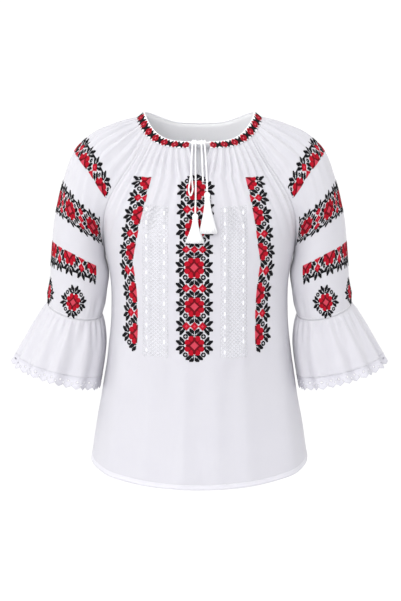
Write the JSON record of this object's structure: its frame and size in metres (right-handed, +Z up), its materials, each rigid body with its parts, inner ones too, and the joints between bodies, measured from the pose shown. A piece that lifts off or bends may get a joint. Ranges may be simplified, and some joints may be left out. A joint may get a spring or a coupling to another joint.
{
  "type": "embroidered folk blouse",
  "caption": "Gathered cotton folk blouse with raglan sleeves, flounced lace cuffs, a stitched neck band and a tasselled drawstring.",
  "frame": {"origin": "middle of the neck opening at shoulder height, where the wearer's shoulders hold the blouse", "axes": "+Z up, -Y towards the front, +X to the right of someone who looks at the front"},
  "size_m": [0.6368, 0.2618, 0.6246],
  "materials": {
    "white_cotton": "plain woven thin cotton, matt",
    "white_lace": "cotton lace, matt",
    "stitched_band": "cotton covered with red and black cross-stitch",
    "white_cord": "twisted cotton cord and thread, matt"
  },
  "bodies": {
    "root": {"front": "white_cotton", "back": "white_cotton", "sleeve_left": "white_cotton", "sleeve_right": "white_cotton", "flounce_left": "white_cotton", "flounce_right": "white_cotton", "lace_left_front": "white_lace", "lace_left_back": "white_lace", "lace_right_front": "white_lace", "lace_right_back": "white_lace", "neck_band": "stitched_band", "tie_knot": "white_cord", "cord_end_left": "white_cord", "cord_end_right": "white_cord", "cord_loop_left": "white_cord", "cord_loop_right": "white_cord", "tassel_left": "white_cord", "tassel_right": "white_cord"}
  },
  "joints": []
}
